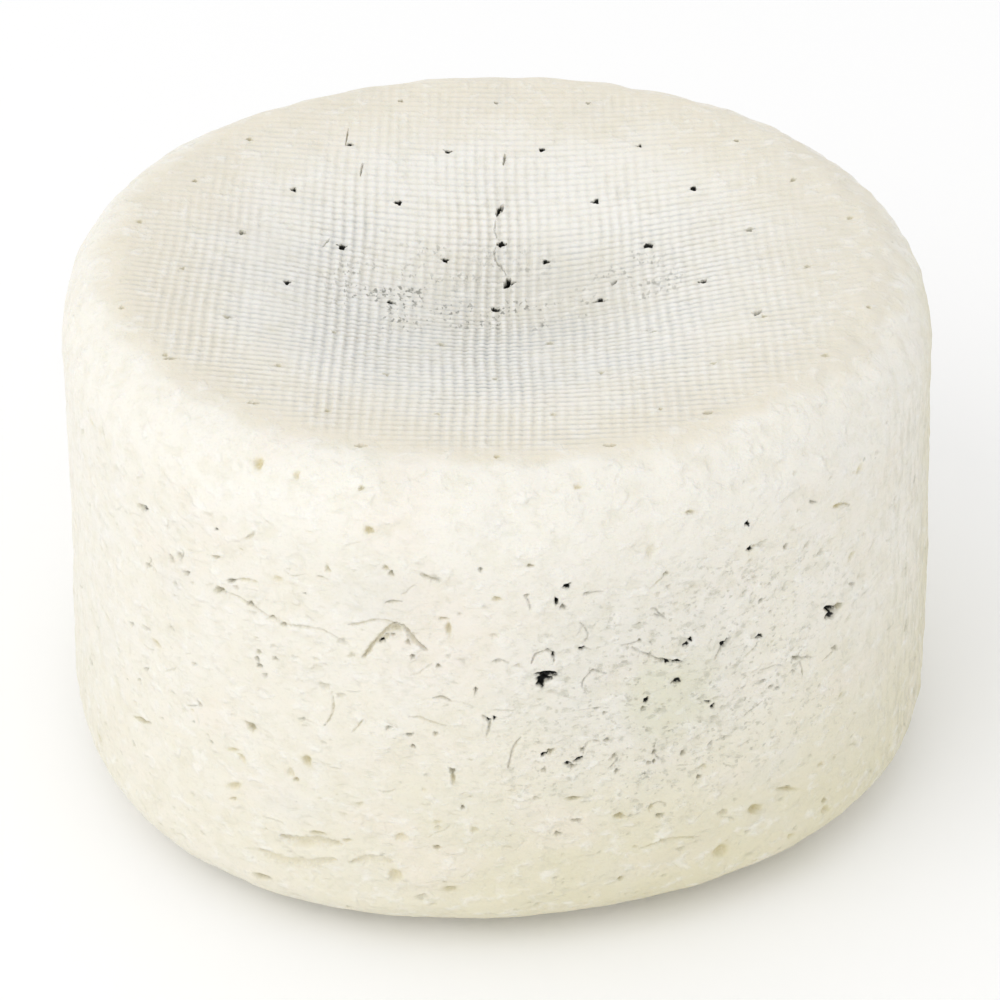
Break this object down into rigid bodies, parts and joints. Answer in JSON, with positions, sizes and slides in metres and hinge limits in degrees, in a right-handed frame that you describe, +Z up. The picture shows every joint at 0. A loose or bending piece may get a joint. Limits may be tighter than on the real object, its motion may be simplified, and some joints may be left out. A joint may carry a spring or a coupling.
{
  "type": "blue cheese wheel",
  "caption": "Whole drum-shaped blue cheese with a sunken, mat-printed upper face, rows of needle holes and a cream rind with small mould-lined openings.",
  "frame": {"origin": "middle of the flat underside", "axes": "+Z up through the wheel, -Y towards the front"},
  "size_m": [0.1984, 0.1982, 0.1173],
  "materials": {
    "cheese_rind": "satin"
  },
  "bodies": {
    "root": {"cheese_wheel": "cheese_rind"}
  },
  "joints": []
}
